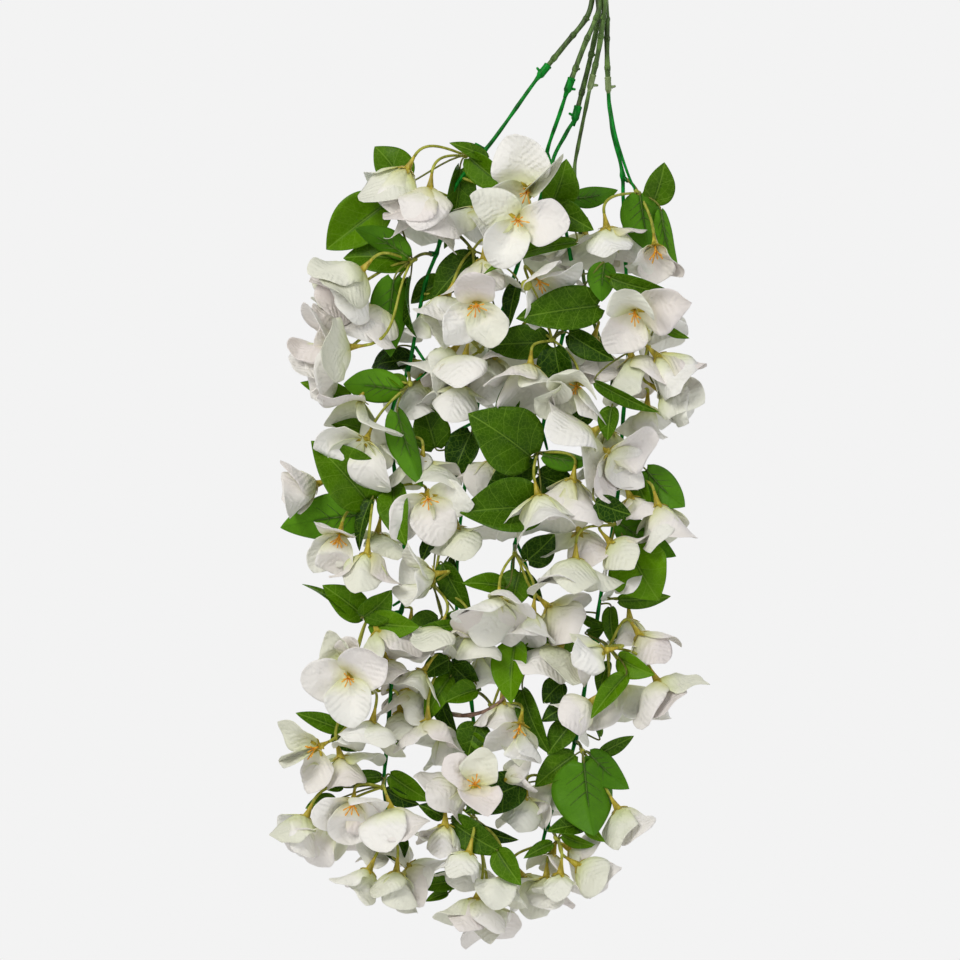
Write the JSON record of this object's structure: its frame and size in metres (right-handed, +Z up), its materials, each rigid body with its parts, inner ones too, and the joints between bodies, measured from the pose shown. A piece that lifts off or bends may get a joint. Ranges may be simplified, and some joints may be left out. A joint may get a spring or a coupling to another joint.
{
  "type": "artificial bougainvillea hanging spray",
  "caption": "Trailing artificial bougainvillea: a plastic crown stub with five stems and vines that carry twigs of fabric leaves and whorls of white three-petalled blooms.",
  "frame": {"origin": "centre of the flat top face of the crown stub, which the spray hangs from", "axes": "+Z up, +X to the right and +Y away from the front of the spray"},
  "size_m": [0.3523, 0.1472, 0.8129],
  "materials": {
    "olive_stem": "satin moulded polyethylene",
    "green_vine": "satin moulded polyethylene",
    "leaf_cloth": "printed polyester with an olive moulded rib",
    "petal_cloth": "white polyester, yellow-green at the throat"
  },
  "bodies": {
    "root": {"crown_stub": "olive_stem", "stem_1": "olive_stem", "stem_2": "olive_stem", "stem_3": "olive_stem", "stem_4": "olive_stem", "stem_5": "olive_stem", "vine_1": "green_vine", "vine_2": "green_vine", "vine_3": "green_vine", "vine_4": "green_vine", "vine_5": "green_vine", "leaf_sprig_01": "leaf_cloth", "flower_spray_01": "petal_cloth", "leaf_sprig_02": "leaf_cloth", "flower_spray_02": "petal_cloth", "leaf_sprig_03": "leaf_cloth", "flower_spray_03": "petal_cloth", "leaf_sprig_04": "leaf_cloth", "flower_spray_04": "petal_cloth", "leaf_sprig_06": "leaf_cloth", "flower_spray_06": "petal_cloth", "leaf_sprig_07": "leaf_cloth", "flower_spray_07": "petal_cloth", "leaf_sprig_08": "leaf_cloth", "flower_spray_08": "petal_cloth", "leaf_sprig_10": "leaf_cloth", "flower_spray_10": "petal_cloth", "leaf_sprig_11": "leaf_cloth", "flower_spray_11": "petal_cloth", "leaf_sprig_12": "leaf_cloth", "flower_spray_12": "petal_cloth", "leaf_sprig_13": "leaf_cloth", "flower_spray_13": "petal_cloth", "leaf_sprig_14": "leaf_cloth", "flower_spray_14": "petal_cloth", "leaf_sprig_16": "leaf_cloth", "flower_spray_16": "petal_cloth", "leaf_sprig_17": "leaf_cloth", "flower_spray_17": "petal_cloth", "leaf_sprig_18": "leaf_cloth", "flower_spray_18": "petal_cloth", "leaf_sprig_19": "leaf_cloth", "flower_spray_19": "petal_cloth", "leaf_sprig_20": "leaf_cloth", "flower_spray_20": "petal_cloth", "leaf_sprig_21": "leaf_cloth", "leaf_sprig_22": "leaf_cloth", "flower_spray_22": "petal_cloth", "leaf_sprig_23": "leaf_cloth", "flower_spray_23": "petal_cloth", "flower_spray_24": "petal_cloth", "leaf_sprig_25": "leaf_cloth", "flower_spray_25": "petal_cloth", "flower_spray_26": "petal_cloth", "leaf_sprig_27": "leaf_cloth", "flower_spray_27": "petal_cloth", "leaf_sprig_28": "leaf_cloth", "flower_spray_28": "petal_cloth", "leaf_sprig_29": "leaf_cloth", "flower_spray_29": "petal_cloth"}
  },
  "joints": []
}
